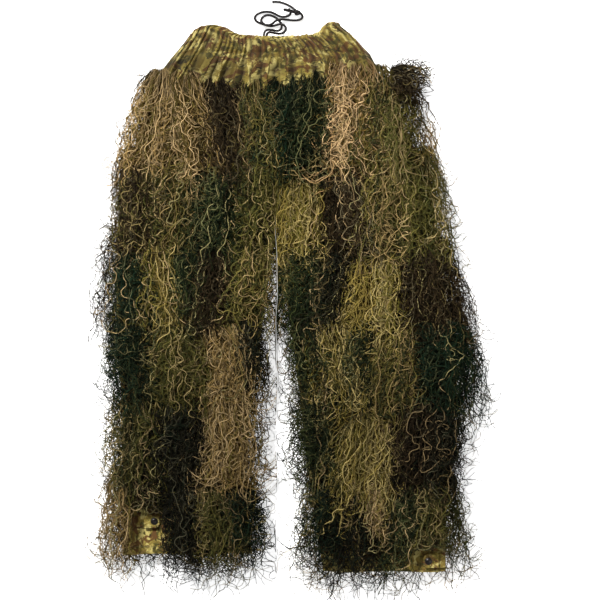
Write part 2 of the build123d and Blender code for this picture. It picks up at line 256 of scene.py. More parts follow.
MATERIALS = {"yarn": yarn_material(), "camouflage_cloth": camouflage_material(),
             "cord": cord_material(), "thread": thread_material(),
             "elastic": elastic_material(), "snap_metal": metal_material()}

# ------------------------------------------------------------------ mesh helpers


def smoothstep(low, high, x):
    t = np.clip((x - low) / (high - low), 0.0, 1.0)
    return t * t * (3.0 - 2.0 * t)


def mesh_object(name, vertices, faces, slots, flat=None, face_slots=None):
    """A smooth-shaded object from vertices in metres; flat gives each vertex its place on the
    uncut cloth."""
    mesh = bpy.data.meshes.new(name)
    mesh.from_pydata([tuple(v) for v in vertices], [], faces)
    mesh.shade_smooth()
    for slot in slots:
        mesh.materials.append(MATERIALS[slot])
    if face_slots is not None:
        mesh.polygons.foreach_set("material_index", face_slots)
    if flat is not None:
        layer = mesh.uv_layers.new(name="flat")
        loops = np.zeros(len(mesh.loops), np.int32)
        mesh.loops.foreach_get("vertex_index", loops)
        layer.data.foreach_set("uv", np.asarray(flat, np.float32)[loops].ravel())
    mesh.update()
    obj = bpy.data.objects.new(name, mesh)
    bpy.context.scene.collection.objects.link(obj)
    return obj


def grid_faces(rows, columns, wrap):
    """Quads of a grid of vertices, row by row; with wrap, each row closes on itself."""
    faces = []
    for i in range(rows - 1):
        for j in range(columns if wrap else columns - 1):
            k = (j + 1) % columns
            faces.append((i * columns + j, i * columns + k,
                          (i + 1) * columns + k, (i + 1) * columns + j))
    return faces


def frames_along(paths):
    """Side and up directions of each point of each path, shape (paths, points, 3)."""
    tangent = np.gradient(paths, axis=1)
    tangent /= np.linalg.norm(tangent, axis=2, keepdims=True) + 1e-12
    side = np.cross(tangent, np.array([0.03, 0.05, 1.0]))
    side /= np.linalg.norm(side, axis=2, keepdims=True) + 1e-9
    return side, np.cross(side, tangent)


def tubes(paths, radii, sides):
    """Closed tubes of the given radii round paths (n, k, 3): vertices, and faces as tuples."""
    count, points, _ = paths.shape
    side, up = frames_along(paths)
    angles = tau * np.arange(sides) / sides
    ring = (side[:, :, None] * np.cos(angles)[:, None] + up[:, :, None] * np.sin(angles)[:, None])
    vertices = (paths[:, :, None] + ring * radii[:, :, None, None]).reshape(-1, 3)
    faces = []
    for n in range(count):
        base = n * points * sides
        faces += [tuple(base + i for i in f) for f in grid_faces(points, sides, True)]
        faces.append(tuple(base + i for i in range(sides))[::-1])
        faces.append(tuple(base + (points - 1) * sides + i for i in range(sides)))
    return vertices, faces


def lathe(name, profile, centre, body, slot, segments=48):
    """A turned metal part: profile is (radius, height) in millimetres, from axis to axis."""
    rings = [p for p in profile if p[0] > 0]
    vertices = [(centre[0] + r * cos(tau * j / segments), centre[1] + r * sin(tau * j / segments),
                 z) for r, z in rings for j in range(segments)]
    faces = grid_faces(len(rings), segments, True)
    for index, (pole, ring) in enumerate(((profile[0], 0), (profile[-1], len(rings) - 1))):
        vertices.append((centre[0], centre[1], pole[1]))
        tip, base = len(vertices) - 1, ring * segments
        for j in range(segments):
            a, b = base + j, base + (j + 1) % segments
            faces.append((tip, b, a) if index == 0 else (tip, a, b))
    obj = mesh_object(name, np.array(vertices) * MM, faces, [slot])
    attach(obj, body)
    return obj


# ------------------------------------------------------------------ outlines of the cloth
MIDDLE = 26.0               # height of the side seams and folds
HIP_LINE = 135.0
RIGHT_HEM, LEFT_HEM = -471.0, -504.0
SEAT_LEFT = ((135, -336), (240, -325), (425, -270), (478, -232))          # (Y, X)
SEAT_RIGHT = ((135, 270), (280, 240), (430, 168), (478, 144))
RIGHT_OUTER = ((-471, -328), (-200, -328), (0, -340), (135, -336))
RIGHT_INNER = ((-471, -80), (-340, -95), (-200, -85), (135, -36))
LEFT_INNER = ((-504, 55), (-310, 26), (-180, 12), (135, -30))
LEFT_OUTER = ((-504, 290), (-400, 290), (-270, 306), (-130, 311), (10, 290), (135, 270))


def edge(side, y):
    """X of a side seam at height y."""
    points = np.array(side, float)
    return np.interp(y, points[:, 0], points[:, 1])


def distance_outside(x, y):
    """How far a point of the plan lies outside the cloth."""
    seat = np.maximum(edge(SEAT_LEFT, y) - x, x - edge(SEAT_RIGHT, y))
    right = np.maximum(edge(RIGHT_OUTER, y) - x, x - edge(RIGHT_INNER, y))
    left = np.maximum(edge(LEFT_INNER, y) - x, x - edge(LEFT_OUTER, y))
    right = np.maximum(right, RIGHT_HEM - y)
    left = np.maximum(left, LEFT_HEM - y)
    return np.maximum(np.where(y > HIP_LINE, seat, np.minimum(right, left)), 0.0)


# ------------------------------------------------------------------ yarn
PALETTES = {                # shares of a tuft's threads, and their dyes
    "tan": ((45, (190, 164, 122)), (28, (158, 132, 84)), (17, (120, 108, 56)), (10, (84, 70, 34))),
    "gold": ((40, (182, 164, 108)), (30, (150, 132, 70)), (20, (120, 112, 52)), (10, (84, 76, 32))),
    "pink": ((48, (204, 174, 132)), (30, (172, 140, 98)), (22, (120, 98, 52))),
    "olive": ((30, (104, 98, 50)), (26, (82, 82, 42)), (26, (164, 146, 102)), (18, (50, 54, 28))),
    "mixed": ((30, (158, 136, 92)), (25, (90, 88, 46)), (25, (52, 58, 34)), (20, (116, 106, 56))),
    "green": ((38, (38, 48, 28)), (27, (26, 36, 22)), (20, (62, 70, 40)), (15, (104, 104, 70))),
    "teal": ((40, (24, 44, 30)), (30, (24, 32, 18)), (18, (42, 54, 34)), (12, (88, 92, 66))),
    "brown": ((42, (46, 36, 22)), (28, (62, 52, 36)), (14, (96, 88, 68)), (16, (26, 22, 12))),
    "black": ((46, (26, 24, 14)), (24, (40, 38, 26)), (18, (24, 34, 22)), (12, (82, 80, 64))),
}
STRAY_DYES = ((178, 154, 114), (150, 142, 100), (124, 110, 72))

# rows of front tufts from waist to hem: height of the roots, reach below them, and the tufts as
# (left, right, dye, {what differs: root_x and root_y move the root, lean moves the ends, turn
# swings the whole tuft in degrees})
FRONT_ROWS = {
    "row_1": (441, 186, (
        (-300, -244, "tan", {"root_x": 18, "root_y": 4, "lean": -22, "reach": 200}),
        (-250, -188, "tan", {"root_x": 6, "root_y": 8, "reach": 196}),
        (-190, -103, "brown", {"root_y": 2}),
        (-105, -42, "mixed", {"root_y": -2}),
        (-46, 21, "teal", {"root_y": 2}),
        (18, 80, "green", {"root_y": 15}),
        (74, 144, "pink", {"root_y": 38, "reach": 210}),
        (136, 196, "mixed", {"root_x": -8, "root_y": 22, "reach": 200}),
        (178, 238, "olive", {"root_x": -24, "root_y": -2, "reach": 178, "lean": 22}),
        (144, 216, "brown", {"root_x": 2, "root_y": 4, "turn": 78, "reach": 60}),
    )),
    "row_2": (298, 186, (
        (-344, -284, "brown", {"root_x": 14}),
        (-295, -240, "olive", {}),
        (-240, -186, "mixed", {}),
        (-190, -101, "green", {}),
        (-105, -32, "olive", {}),
        (-36, 50, "gold", {"root_y": -28}),
        (44, 136, "brown", {}),
        (134, 214, "mixed", {}),
        (206, 282, "olive", {"root_x": -10}),
    )),
    "row_3": (146, 182, (
        (-358, -288, "teal", {"root_x": 22}),
        (-318, -244, "gold", {"root_x": 14, "lean": -14}),
        (-246, -178, "green", {}),
        (-180, -110, "brown", {}),
        (-114, -37, "mixed", {}),
        (-29, 60, "green", {}),
        (58, 112, "black", {}),
        (104, 203, "gold", {"root_y": -6}),
        (198, 302, "brown", {"root_x": -14}),
    )),
    "row_4": (4, 186, (
        (-356, -300, "teal", {"root_x": 18}),
        (-277, -178, "olive", {}),
        (-182, -92, "tan", {}),
        (-102, -66, "black", {"reach": 150}),
        (-2, 34, "green", {}),
        (20, 99, "gold", {}),
        (95, 156, "green", {}),
        (152, 240, "mixed", {}),
        (238, 338, "teal", {"root_x": -20, "lean": 10}),
    )),
    "row_5": (-148, 186, (
        (-336, -260, "olive", {"root_x": 8}),
        (-266, -166, "black", {}),
        (-172, -84, "tan", {}),
        (20, 80, "green", {}),
        (80, 203, "gold", {"root_y": -20}),
        (198, 272, "brown", {}),
        (262, 326, "black", {"root_x": -10}),
    )),
    "row_6": (-310, 180, (
        (-348, -304, "tan", {"reach": 156}),
        (-306, -256, "brown", {"reach": 70}),
        (-264, -186, "black", {"reach": 163}),
        (-190, -122, "olive", {"reach": 165}),
        (-130, -78, "teal", {"reach": 160}),
        (42, 84, "teal", {}),
        (78, 126, "black", {}),
        (116, 176, "tan", {"reach": 92}),
        (170, 232, "green", {}),
        (226, 266, "olive", {"reach": 126}),
        (264, 306, "olive", {"reach": 176}),
    )),
}
CENTRE_LINE = -33.0         # between the wearer's right and left
FRONT_DENSITY, BACK_DENSITY = 2.9, 1.5           # threads for each millimetre of tuft
FRONT_POINTS, BACK_POINTS = 44, 26               # along a thread
THREAD_RADIUS = (0.58, 0.88)
LOCK_THREADS = 5            # threads that run together
MOST_THREADS = 745          # in one piece
STRAY_X, STRAY_Y = 397.0, 571.0                  # how far the longest strays reach
BARE_SPOTS = (              # no yarn crosses the ankle tabs: left, right, low and high
    (-303.0, -254.0, -448.0, -390.0),
    (230.0, 291.0, -503.0, -466.0),
)
CURLINESS = {"tan": 0.95, "gold": 0.9, "pink": 1.15, "olive": 1.15, "mixed": 1.1, "green": 1.4,
             "teal": 1.45, "brown": 1.2, "black": 1.3}


def dyes(rng, palette, locks, lock, layer):
    """A colour for each thread: one dye to a lock, with a few strays. Threads lower in the tuft are
    painted darker and warmer, as painted shade between the threads."""
    shares = np.array([share for share, _ in PALETTES[palette]], float)
    choices = np.array([linear(*dye) for _, dye in PALETTES[palette]])
    picked = choices[rng.choice(len(choices), locks, p=shares / shares.sum())][lock]
    count = len(lock)
    own = rng.random(count) < 0.6
    picked[own] = choices[rng.choice(len(choices), own.sum(), p=shares / shares.sum())]
    stray = rng.random(count) < 0.08
    strays = np.array([linear(*dye) for dye in STRAY_DYES])
    picked[stray] = strays[rng.integers(0, len(strays), stray.sum())]
    shade = np.exp(rng.normal(-0.06, 0.42, (count, 1)).clip(-1.2, 0.34))
    # painted shade: a tuft's lower layers are darkened and warmed towards these factors
    deep = np.array([0.30, 0.25, 0.13])
    return picked * shade * (deep + (1.0 - deep) * smoothstep(0.15, 0.9, layer))


def clear_of_spots(x, y):
    """Which threads stay out of the bare spots all along."""
    clear = np.ones(len(x), bool)
    for left, right, low, high in BARE_SPOTS:
        clear &= ~((x > left) & (x < right) & (y > low) & (y < high)).any(axis=1)
    return clear


def tuft(rng, left, right, root_y, reach, palette, front, root_x=0.0, lean=0.0, turn=0.0):
    """The threads of one tuft: centrelines (n, k, 3) in millimetres, radii and colours."""
    width = right - left
    count = int(width * (FRONT_DENSITY if front else BACK_DENSITY))
    points = FRONT_POINTS if front else BACK_POINTS
    locks = max(6, count // LOCK_THREADS)
    lock = rng.integers(0, locks, count)
    lock_place = np.linspace(-1, 1, locks) + rng.uniform(-0.12, 0.12, locks)
    lock_layer = rng.permutation(np.linspace(0.02, 0.98, locks))
    place = np.clip(lock_place[lock] + rng.normal(0, 0.17, count), -1.15, 1.15)[:, None]
    layer = np.clip(lock_layer[lock] + rng.normal(0, 0.12, count), 0, 1)[:, None]

    share = (np.linspace(0, 1, points) ** 0.85)[None, :]
    wild = (rng.random(count) < 0.12)[:, None]
    spread = rng.normal(0, 1, (count, 1)).clip(-1.8, 1.8)
    length = reach * (1.50 + 0.11 * spread) * rng.uniform(0.84, 1.08, (locks, 1))[lock]
    run = share * length

    def wave(low, high, pick=None):
        """Two sines along each thread, or along each lock, with wavelengths from low to high."""
        size = count if pick is None else locks
        one, two = (rng.uniform(low, high, (size, 1)) for _ in range(2))
        start, second = rng.uniform(0, tau, (2, size, 1))
        if pick is not None:
            one, two, start, second = one[pick], two[pick], start[pick], second[pick]
        return 0.62 * np.sin(tau * run / one + start) + 0.48 * np.sin(tau * run / two + second)

    fan = 0.85 * np.exp(-share / 0.11) + 0.19 * width / reach
    curl = CURLINESS[palette] * rng.uniform(0.45, 2.1, (count, 1))
    curl = curl * (0.30 + 0.70 * smoothstep(0.06, 0.42, share))
    swirl = rng.uniform(-0.3, 0.3) * np.sin(tau * (share * rng.uniform(0.5, 0.9)))
    heading = (lean / reach + swirl + place * fan + 0.30 * wave(120, 240, lock) * (0.35 + share)
               + curl * (0.26 * wave(16, 28) + 0.74 * wave(32, 60) + 0.62 * wave(62, 125))
               + np.where(wild, 0.9, 0.0) * wave(60, 140))
    hook = np.where(rng.random((count, 1)) < 0.75, rng.uniform(-4.2, 4.2, (count, 1)), 0.0)
    heading = heading + hook * smoothstep(0.58, 1.0, share) ** 2
    limit = np.where(wild, 3.2, 2.9)
    heading = limit * np.tanh(heading / limit) + radians(turn)
    step = np.diff(run, axis=1, prepend=0.0)
    half_root = 0.24 * width
    root_y = root_y + rng.uniform(-9, 7)
    along_turn = (cos(radians(turn)), sin(radians(turn)))
    start_x = (left + right) / 2 + root_x + place * half_root * along_turn[0]
    start_y = root_y + place * half_root * along_turn[1] + rng.uniform(-6, 5, (count, 1))
    x = start_x + np.cumsum(step * np.sin(heading), axis=1)
    y = start_y - np.cumsum(step * np.cos(heading), axis=1)
    x, y = within(x, -STRAY_X, STRAY_X), within(y, -STRAY_Y, STRAY_Y)
    parting = CENTRE_LINE + 1.4 * np.sin(y / 31.0) + 0.6 * np.sin(y / 13.0)
    leg_side = -1.0 if (left + right) / 2 < CENTRE_LINE else 1.0
    apart = parting + leg_side * (1.2 + within((x - parting) * leg_side, 0.0, 900.0, 4.0))
    x = x + (apart - x) * smoothstep(250.0, 205.0, y)

    rise = smoothstep(-0.03, 0.26, share) * (1 - 0.30 * smoothstep(0.72, 1.0, share))
    crown = (1 - 0.35 * place ** 2) * rise
    bounce = (0.9 + 4.2 * share) * wave(22, 52)
    outside = distance_outside(x, y)
    if front:
        low = 38.2 + 9.0 * smoothstep(0.55, 0.85, share)
        z = low + (80.0 - low) * crown * layer ** 0.8 + bounce
        z = np.maximum(within(z, 0.0, 90.0, 10.0), 37.8 + 2.0 * rng.random((count, 1)))
        rest = 5.0 + 26.0 * layer
        z = rest + (z - rest) * np.exp(-(outside / 62.0) ** 1.4)
    else:
        z = 15.0 - 12.8 * crown * (0.25 + 0.75 * layer) + 0.25 * bounce
        z = np.clip(z, 1.0, 15.4)
        z = np.where(outside > 0, np.clip(z, 1.0, 9.0), z)
    paths = np.stack([x, y, np.maximum(z, 1.0)], axis=2)
    radii = rng.uniform(*THREAD_RADIUS, (count, 1)) * (1.0 - 0.3 * smoothstep(0.8, 1.0, share))
    # painted shade at the roots, where the row above covers them, and painted light on the lower tips
    painted_root_shade_tip_light = 0.45 + 0.55 * smoothstep(0.0, 0.4, share) + 0.15 * smoothstep(0.7, 1.0, share)
    shaded = 1.0 - 0.42 * smoothstep(120.0, -260.0, y)
    colours = (dyes(rng, palette, locks, lock, layer)[:, None, :]
               * (painted_root_shade_tip_light * shaded)[:, :, None] * np.array([1.0, 0.985, 0.91]))
    kept = clear_of_spots(x, y) | (not front)
    return paths[kept], radii[kept], np.clip(colours, 0.0, 0.9)[kept]


def within(values, low, high, ease=16.0):
    """Holds values inside limits, easing towards each of them."""
    top = np.maximum(values - (high - ease), 0.0)
    bottom = np.maximum((low + ease) - values, 0.0)
    eased = np.where(top > 0, high - ease + ease * np.tanh(top / ease), values)
    return np.where(bottom > 0, low + ease - ease * np.tanh(bottom / ease), eased)


def yarn_object(name, tufts):
    """One mesh of many threads, three-sided tubes with closed ends."""
    sides = 3
    paths, radii, colours = (np.concatenate(part) for part in zip(*tufts))
    count, points, _ = paths.shape
    side, up = frames_along(paths)
    angles = tau * np.arange(sides) / sides
    ring = side[:, :, None] * np.cos(angles)[:, None] + up[:, :, None] * np.sin(angles)[:, None]
    vertices = (paths[:, :, None] + ring * radii[:, :, None, None]) * MM

    first = np.arange(count)[:, None, None] * points * sides
    i, j = np.arange(points - 1)[:, None] * sides, np.arange(sides)[None, :]
    after = (j + 1) % sides
    quads = np.stack([i + j, i + after, i + sides + after, i + sides + j], axis=-1).reshape(-1, 4)
    quads = (first + quads[None]).reshape(-1, 4)
    caps = np.array([[2, 1, 0], [(points - 1) * sides + c for c in range(sides)]])
    caps = (first + caps[None]).reshape(-1, 3)

    mesh = bpy.data.meshes.new(name)
    mesh.vertices.add(count * points * sides)
    mesh.vertices.foreach_set("co", vertices.astype(np.float32).ravel())
    mesh.loops.add(quads.size + caps.size)
    mesh.loops.foreach_set("vertex_index", np.concatenate([quads.ravel(), caps.ravel()])
                           .astype(np.int32))
    mesh.polygons.add(len(quads) + len(caps))
    starts = np.concatenate([np.arange(len(quads)) * 4, quads.size + np.arange(len(caps)) * 3])
    mesh.polygons.foreach_set("loop_start", starts.astype(np.int32))
    mesh.update(calc_edges=True)
    mesh.shade_smooth()

    shade = mesh.color_attributes.new("yarn_colour", "FLOAT_COLOR", "POINT")
    rgba = np.ones((count, points, sides, 4), np.float32)
    rgba[..., :3] = colours[:, :, None, :]
    shade.data.foreach_set("color", rgba.ravel())

    bands = 8                # each thread has a strip of the texture to itself
    columns = -(-count // bands)
    thread = np.arange(count)
    u0, v0 = (thread % columns) / columns, (thread // columns) / bands
    u = u0[:, None, None, None] + np.array([0.2, 0.5, 0.8, 0.8])[None, None, None] / columns
    corner_u = np.stack([np.arange(sides) / sides, (np.arange(sides) + 1) / sides,
                         (np.arange(sides) + 1) / sides, np.arange(sides) / sides], axis=-1)
    u = u0[:, None, None, None] + (0.15 + 0.7 * corner_u)[None, None] / columns
    v_low = (np.arange(points - 1) / (points - 1) * 0.94 + 0.03)[:, None, None]
    v_high = (np.arange(1, points) / (points - 1) * 0.94 + 0.03)[:, None, None]
    corner_v = np.concatenate([v_low, v_low, v_high, v_high], axis=2)
    v = v0[:, None, None, None] + corner_v[None] / bands
    shape = (count, points - 1, sides, 4)
    quad_uv = np.stack([np.broadcast_to(u, shape), np.broadcast_to(v, shape)], axis=-1)
    cap_u = u0[:, None, None] + np.array([0.3, 0.5, 0.7])[None, None] / columns
    cap_v = v0[:, None, None] + (np.array([0.02, 0.98])[:, None]
                                 + np.array([0.0, 0.008, 0.0])[None])[None] / bands
    cap_uv = np.stack([np.broadcast_to(cap_u, (count, 2, 3)), cap_v], axis=-1)
    layer = mesh.uv_layers.new(name="OFBake")
    layer.data.foreach_set("uv", np.concatenate([quad_uv.ravel(), cap_uv.ravel()])
                           .astype(np.float32))

    mesh.materials.append(MATERIALS["yarn"])
    obj = bpy.data.objects.new(name, mesh)
    bpy.context.scene.collection.objects.link(obj)
    return obj


def attach_yarn(obj, row, side):
    """Makes the yarn of rows 1 and 4 to 6 move with the seat or shin that it hangs on; rows 2 and 3
    stay fixed where they lie.
    """
    if row == "row_1":
        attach(obj, "seat")
    elif row == "row_2":
        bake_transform(obj)
    elif row == "row_3":
        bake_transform(obj)
    else:
        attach(obj, f"{side}_shin")


def make_yarn():
    """All the tufts, front and back, one piece for each row and side of the front."""
    back_dyes = sorted(PALETTES)
    groups = {}
    for number, (row, (root_y, reach, tufts)) in enumerate(FRONT_ROWS.items()):
        for index, (left, right, palette, change) in enumerate(tufts):
            side = "right" if (left + right) / 2 < CENTRE_LINE else "left"
            change = dict(change)
            place = (left, right, root_y + change.pop("root_y", 0), change.pop("reach", reach))
            rng = np.random.default_rng([SEED, number, index])
            groups.setdefault(("front", row, side), []).append(
                tuft(rng, *place, palette, True, **change))
            if change.get("turn"):
                continue
            rng = np.random.default_rng([SEED, number, index, 1])
            dye = back_dyes[rng.integers(len(back_dyes))]
            back = (left, right, root_y, max(place[3], reach - 20))
            groups.setdefault(("back", row, side), []).append(tuft(rng, *back, dye, False))
    for (face, row, side), tufts in groups.items():
        nodes = f"{face}_tufts_{row}" if row in ("row_1", "row_2") else f"{face}_tufts_{side}_{row}"
        batches = [[]]
        for made in tufts:
            if sum(len(t[0]) for t in batches[-1]) + len(made[0]) > MOST_THREADS:
                batches.append([])
            batches[-1].append(made)
        for number, batch in enumerate(batches, 1):
            obj = yarn_object(f"{face}_yarn_{side}_{row}_{number}", batch)
            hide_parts(nodes)
            attach_yarn(obj, row, side)


# ------------------------------------------------------------------ cloth
CLOTH_THICKNESS = 1.4


def solidify(obj, thickness=CLOTH_THICKNESS, offset=-1.0):
    """Gives a surface the thickness of its cloth, inwards, and makes it final."""
    modifier = obj.modifiers.new("thickness", "SOLIDIFY")
    modifier.thickness, modifier.offset = thickness * MM, offset
    modifier.use_rim = True
    graph = bpy.context.evaluated_depsgraph_get()
    mesh = bpy.data.meshes.new_from_object(obj.evaluated_get(graph))
    obj.modifiers.clear()
    obj.data = mesh
    mesh.shade_smooth()
    return obj


def cloth_tube(name, left_side, right_side, y_top, y_bottom, hem=False):
    """A flattened, wrinkled tube of cloth between two side seams; with hem, its lower end is
    turned up inside."""
    columns, step = 150, 6.0
    rows = int((y_top - y_bottom) / step) + 1
    levels = [(y, 0.0) for y in np.linspace(y_top, y_bottom, rows)]
    if hem:
        levels += [(y_bottom - 1.2, 0.9), (y_bottom, 2.4), (y_bottom + 6, 2.7),
                   (y_bottom + 12, 2.7), (y_bottom + 18, 2.6)]
    y, inset = (np.array(v)[:, None] for v in zip(*levels))
    angle = (tau * np.arange(columns) / columns)[None, :]
    left, right = edge(left_side, y), edge(right_side, y)
    across = np.sign(np.cos(angle)) * np.abs(np.cos(angle)) ** 0.8
    half = (right - left) / 2 - inset
    x = (left + right) / 2 + half * across
    lift = np.sign(np.sin(angle)) * np.abs(np.sin(angle)) ** 0.42
    creases = (0.9 * np.sin(x / 31 + 0.9 * np.sin(y / 47)) + 0.7 * np.sin(y / 38 + x / 60 + 1.3)
               + 0.5 * np.sin(x / 13 + y / 90))
    z = MIDDLE + lift * (8.6 - inset + 0.55 * creases)
    y = y + 0 * x
    if hem:
        y = y + 1.2 * np.sin(x / 23) * smoothstep(y_bottom + 60, y_bottom, y)
    flat = np.stack([x + np.where(lift < 0, 700.0, 0.0), y], axis=2) * MM
    vertices = np.stack([x, y, z], axis=2).reshape(-1, 3) * MM
    # the grid runs down and anticlockwise, so its faces look outwards
    obj = mesh_object(name, vertices, grid_faces(len(levels), columns, True),
                      ["camouflage_cloth"], flat.reshape(-1, 2))
    return solidify(obj)


def stitch_row(points, height, pitch=3.2, length=2.2, radius=0.28):
    """Raised stitches along a line: short bowed tubes, as vertices in millimetres and faces."""
    line = np.array(points, float)
    runs = np.linalg.norm(np.diff(line, axis=0), axis=1)
    total = np.concatenate([[0.0], np.cumsum(runs)])
    starts = np.arange(0.0, total[-1] - length, pitch)
    share = np.linspace(0, 1, 5)
    at = starts[:, None] + share[None] * length
    path = np.stack([np.interp(at, total, line[:, k]) for k in range(line.shape[1])], axis=2)
    bow = (height * np.sin(pi * share) - 0.15)[None]
    path[:, :, 2] += bow * np.sign(line[0, 2] - MIDDLE + 1e-9)
    return tubes(path, np.full(path.shape[:2], radius), 6)


def merged(parts):
    """Several (vertices, faces) as one."""
    vertices, faces, base = [], [], 0
    for v, f in parts:
        vertices.append(np.asarray(v))
        faces += [tuple(base + i for i in face) for face in f]
        base += len(v)
    return np.concatenate(vertices), faces


def make_cloth():
    """Seat, hips, knees and shins, each a tube of cloth; the seat and the shins follow their bodies,
    and the hips and knees stay fixed where they lie.
    """
    seat = cloth_tube("seat_cloth", SEAT_LEFT, SEAT_RIGHT, 455, 170)
    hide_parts("seat_front_panel", "seat_back_panel")
    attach(seat, "seat")
    for side, outer, inner, hem in (("right", RIGHT_OUTER, RIGHT_INNER, RIGHT_HEM),
                                    ("left", LEFT_INNER, LEFT_OUTER, LEFT_HEM)):
        hip = cloth_tube(f"{side}_hip_cloth", outer, inner, 169.5, 65)
        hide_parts(f"{side}_thigh_front_panel", f"{side}_thigh_back_panel")
        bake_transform(hip)
        knee = cloth_tube(f"{side}_knee_cloth", outer, inner, 64.5, -40)
        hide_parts(f"{side}_thigh_front_panel", f"{side}_thigh_back_panel")
        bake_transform(knee)
        shin = cloth_tube(f"{side}_shin_cloth", outer, inner, -40.5, hem, hem=True)
        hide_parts(f"{side}_shin_front_panel", f"{side}_shin_back_panel",
                    f"{side}_hem_facing")
        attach(shin, f"{side}_shin")
        make_hem_stitches(side, outer, inner, hem)


def make_hem_stitches(side, left_side, right_side, hem):
    """The seam that holds the turned-up hem, on front and back."""
    parts = []
    y = hem + 14.0
    left, right = float(edge(left_side, y)), float(edge(right_side, y))
    x = np.linspace(left + 14, right - 14, 40)
    for up in (1, -1):
        z = np.full_like(x, MIDDLE + up * 9.3)
        parts.append(stitch_row(np.stack([x, np.full_like(x, y), z], axis=1), 0.7))
    vertices, faces = merged(parts)
    obj = mesh_object(f"{side}_hem_stitches", vertices * MM, faces, ["thread"])
    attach(obj, f"{side}_shin")


# ------------------------------------------------------------------ gathered waist
WAIST_TOP_EDGE = ((-200, 521), (-188, 531), (-172, 535), (-150, 532), (-136, 524), (-118, 516.5),
                  (-60, 513.5), (0, 514), (38, 517.5), (54, 523), (63, 535), (74, 541), (86, 540),
                  (96, 530))
WAIST_SIDES = ((400, -277, 184), (430, -268, 170), (478, -233, 145), (505, -211, 118),
               (520, -200, 96))
WAIST_INSIDE = (-166.0, 82.0)
NARROW_PLEATS, BROAD_PLEATS = 33, 13
CHANNEL_SEAM = 484.0


def pleats(rng, s, v):
    """Height of the gathers over the cloth at s across, 0 to 1, and v up, 0 to 1."""
    warp = np.zeros_like(s)
    for cycles, size in ((1.7, 0.016), (3.9, 0.009), (8.3, 0.0045)):
        warp = warp + size * np.sin(tau * (cycles * s + rng.random()))
    slant = (1 - v) * 0.020 * np.sin(tau * (2.4 * s + rng.random()))
    slant = slant + (1 - v) ** 2 * 0.012 * np.sin(tau * (5.2 * s + rng.random()))
    narrow = np.abs(np.sin(pi * NARROW_PLEATS * (s + warp)))
    depth = rng.uniform(0.55, 1.15, NARROW_PLEATS + 6)
    narrow = narrow ** 0.75 * np.interp(NARROW_PLEATS * (s + warp) + 2,
                                        np.arange(len(depth)) + 0.5, depth)
    meander = 0.010 * np.sin(tau * (1.4 * v + 9.0 * s)) + 0.006 * np.sin(tau * (2.9 * v + 17.0 * s))
    phase = BROAD_PLEATS * (s + warp + slant + (1 - v) * meander)
    broad = np.abs(np.sin(pi * phase)) ** 0.6
    deep = rng.uniform(0.5, 1.2, BROAD_PLEATS + 6)
    broad = broad * np.interp(phase + 2, np.arange(len(deep)) + 0.5, deep)
    ripple = np.abs(np.sin(pi * 29 * (s + warp * 1.3 + slant * 0.6) + 0.8)) ** 0.8
    up = smoothstep(0.50, 0.74, v)
    height = (5.4 * narrow * (0.2 + 0.8 * up) + 10.5 * broad * (1 - 0.75 * up)
              + 2.8 * ripple * (1 - up))
    # how deep in a valley each point lies, used as painted shade in the cloth's colour
    painted_crease_shade = (up * (1 - narrow / 0.9).clip(0, 1) ** 1.3
              + (1 - up) * np.maximum((1 - broad / 0.85).clip(0, 1) ** 0.9,
                                      0.8 * (1 - ripple).clip(0, 1) ** 2.2))
    lean = np.sin(tau * phase) * (1 - up) * 3.4 + np.sin(tau * NARROW_PLEATS * (s + warp)) * 0.9
    return height, lean, painted_crease_shade.clip(0, 1)


